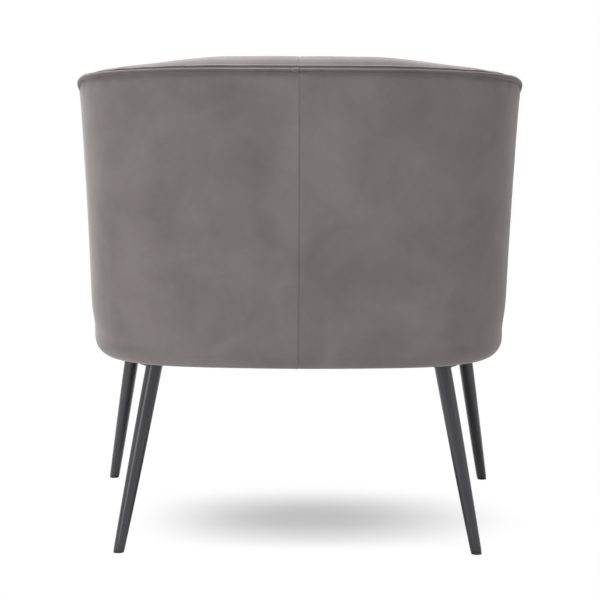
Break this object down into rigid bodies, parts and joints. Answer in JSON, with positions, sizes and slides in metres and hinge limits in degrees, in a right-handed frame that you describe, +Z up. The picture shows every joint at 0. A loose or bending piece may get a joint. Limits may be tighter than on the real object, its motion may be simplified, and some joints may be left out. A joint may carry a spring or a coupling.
{
  "type": "accent chair",
  "caption": "Upholstered tub armchair with a wrap-round back sloping into the arms, piped rim, crowned seat and splayed tapered legs.",
  "frame": {"origin": "on the floor, under the middle of the chair's width, 0.264 m forward of the rear feet's middles", "axes": "+Z up; the chair faces -Y, so the outside back faces +Y; +X is the sitter's left"},
  "size_m": [0.741, 0.6772, 0.797],
  "materials": {
    "taupe_velvet": "velvet, short even pile",
    "black_steel": "satin black powder coat",
    "plywood": "unfinished",
    "solid_wood": "planed, unfinished",
    "foam": "open-cell upholstery foam",
    "wadding": "polyester wadding",
    "card_liner": "card with a thin wadding face",
    "felt": "pressed felt",
    "spring_steel": "oiled wire",
    "plated_steel": "zinc plated",
    "dust_cloth": "non-woven, black",
    "black_plastic": "matt"
  },
  "bodies": {
    "root": {"arm_foam_left": "foam", "arm_foam_right": "foam", "arm_front_cover_left": "taupe_velvet", "arm_front_cover_right": "taupe_velvet", "arm_front_pad_left": "wadding", "arm_front_pad_right": "wadding", "arm_front_panel_left": "plywood", "arm_front_panel_right": "plywood", "back_rail": "solid_wood", "base_back": "plywood", "base_front": "plywood", "base_left": "plywood", "base_right": "plywood", "dust_cover": "dust_cloth", "dust_cover_staples": "plated_steel", "front_border_cover": "taupe_velvet", "front_border_wadding": "wadding", "front_corner_block_left": "solid_wood", "front_corner_block_right": "solid_wood", "front_rail": "solid_wood", "glide_front_left": "black_plastic", "glide_front_right": "black_plastic", "glide_rear_left": "black_plastic", "glide_rear_right": "black_plastic", "inside_back_foam": "foam", "inside_cover_left": "taupe_velvet", "inside_cover_right": "taupe_velvet", "leg_front_left": "black_steel", "leg_front_right": "black_steel", "leg_rear_left": "black_steel", "leg_rear_right": "black_steel", "leg_screws": "plated_steel", "outside_cover_left": "taupe_velvet", "outside_cover_right": "taupe_velvet", "outside_liner_left": "card_liner", "outside_liner_right": "card_liner", "post_back_left": "solid_wood", "post_back_middle": "solid_wood", "post_back_right": "solid_wood", "post_corner_left": "solid_wood", "post_corner_right": "solid_wood", "post_side_left": "solid_wood", "post_side_right": "solid_wood", "rear_corner_rail_left": "solid_wood", "rear_corner_rail_right": "solid_wood", "rim_piping_left": "taupe_velvet", "rim_piping_right": "taupe_velvet", "seat_cover": "taupe_velvet", "seat_foam": "foam", "seat_spring_1": "spring_steel", "seat_spring_2": "spring_steel", "seat_spring_3": "spring_steel", "seat_spring_4": "spring_steel", "side_rail_left": "solid_wood", "side_rail_right": "solid_wood", "spring_clips": "plated_steel", "spring_felt": "felt", "top_rib_back": "plywood", "top_rib_left": "plywood", "top_rib_right": "plywood"}
  },
  "joints": []
}
